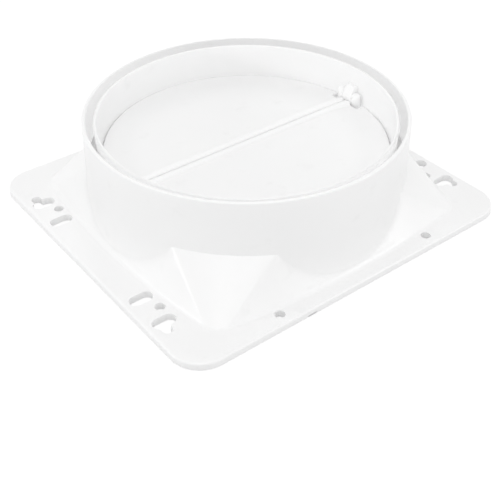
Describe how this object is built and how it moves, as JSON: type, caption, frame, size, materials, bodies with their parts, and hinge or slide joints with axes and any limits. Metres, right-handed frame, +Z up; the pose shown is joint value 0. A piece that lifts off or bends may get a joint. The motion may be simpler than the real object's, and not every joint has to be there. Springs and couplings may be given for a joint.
{
  "type": "duct non-return valve",
  "caption": "Square-plated ventilation duct check valve: a square-to-round transition carries a double-walled round collar, closed by hinged half-disc flaps that air pushes open.",
  "frame": {"origin": "centre of the mounting plate's underside", "axes": "+Z up along the duct axis, the way the air leaves; +X along the plate's longer side and the flaps' hinge"},
  "size_m": [0.2144, 0.197, 0.0591],
  "materials": {
    "housing_plastic": "white moulded plastic, satin gloss",
    "flap_plastic": "white moulded plastic, satin gloss"
  },
  "bodies": {
    "housing": {"housing": "housing_plastic"},
    "flap_front": {"flap_front": "flap_plastic"},
    "flap_rear": {"flap_rear": "flap_plastic"}
  },
  "joints": [
    {"name": "flap_front_hinge", "type": "hinge", "parent": "housing", "child": "flap_front", "pos_m": [0, -0.0028, 0.0377], "axis": [-1, 0, 0], "range_deg": [0, 85]},
    {"name": "flap_rear_hinge", "type": "hinge", "parent": "housing", "child": "flap_rear", "pos_m": [0, 0.0028, 0.0377], "axis": [1, 0, 0], "range_deg": [0, 85]}
  ]
}
